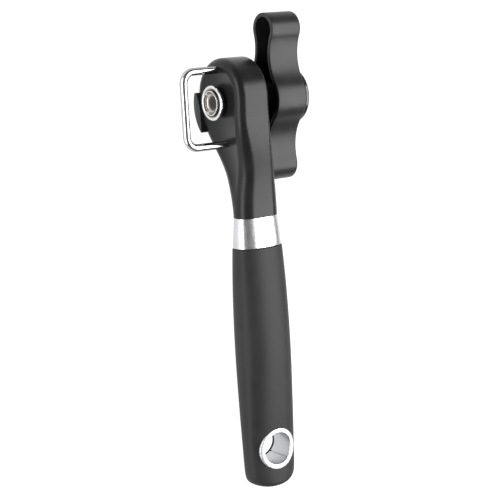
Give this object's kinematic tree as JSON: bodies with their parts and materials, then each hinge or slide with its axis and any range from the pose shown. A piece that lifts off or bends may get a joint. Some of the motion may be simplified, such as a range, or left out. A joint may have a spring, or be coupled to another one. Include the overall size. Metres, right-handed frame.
{
  "type": "manual can opener",
  "caption": "Single-handle manual can opener: toothed drive wheel and cutting disc turned by a three-lobed knob, wire loop in front, soft grip with a hanging hole.",
  "frame": {"origin": "centre of the hanging hole, on the handle's centre line", "axes": "+X runs down the handle away from the head, -Y is the working face with the drive wheel and the wire loop, +Y is the knob, +Z is along the hanging hole; the tool lies on its side"},
  "size_m": [0.2117, 0.0592, 0.0327],
  "materials": {
    "head_black": "satin",
    "knob_black": "satin",
    "cap_black": "semi-gloss",
    "guide_black": "satin",
    "core_grey": "matte",
    "grip_rubber": "soft-touch matte",
    "collar_silver": "fine satin",
    "insert_silver": "fine satin",
    "chrome_disc": "polished",
    "chrome_wire": "polished",
    "nickel_cup": "bright nickel",
    "gear_steel": "machined",
    "steel": "machined",
    "zinc_steel": "zinc plated",
    "bronze": "sintered",
    "bushing_black": "satin"
  },
  "bodies": {
    "body": {"head_shell": "head_black", "rear_cover": "head_black", "cover_screws": "zinc_steel", "front_bushing": "bushing_black", "rear_bushing": "bushing_black", "thrust_washer": "steel", "wire_loop": "chrome_wire", "rim_guide": "guide_black", "handle_core": "core_grey", "neck_pins": "steel", "collar": "collar_silver", "grip_sleeve": "grip_rubber", "hole_insert_upper": "insert_silver", "hole_insert_lower": "insert_silver"},
    "drive": {"drive_shaft": "steel", "drive_gear": "gear_steel", "axle_cup": "nickel_cup", "wave_washer": "steel", "retaining_clip": "gear_steel", "knob_shell": "knob_black", "knob_insert": "bronze", "knob_screw": "zinc_steel", "knob_cap": "cap_black"},
    "disc": {"cutter_disc": "chrome_disc"}
  },
  "joints": [
    {"name": "knob_turn", "type": "hinge", "parent": "body", "child": "drive", "pos_m": [-0.1563, 0, 0], "axis": [0, -1, 0], "continuous": true},
    {"name": "disc_spin", "type": "hinge", "parent": "drive", "child": "disc", "pos_m": [-0.1563, 0, 0], "axis": [0, -1, 0], "continuous": true}
  ]
}
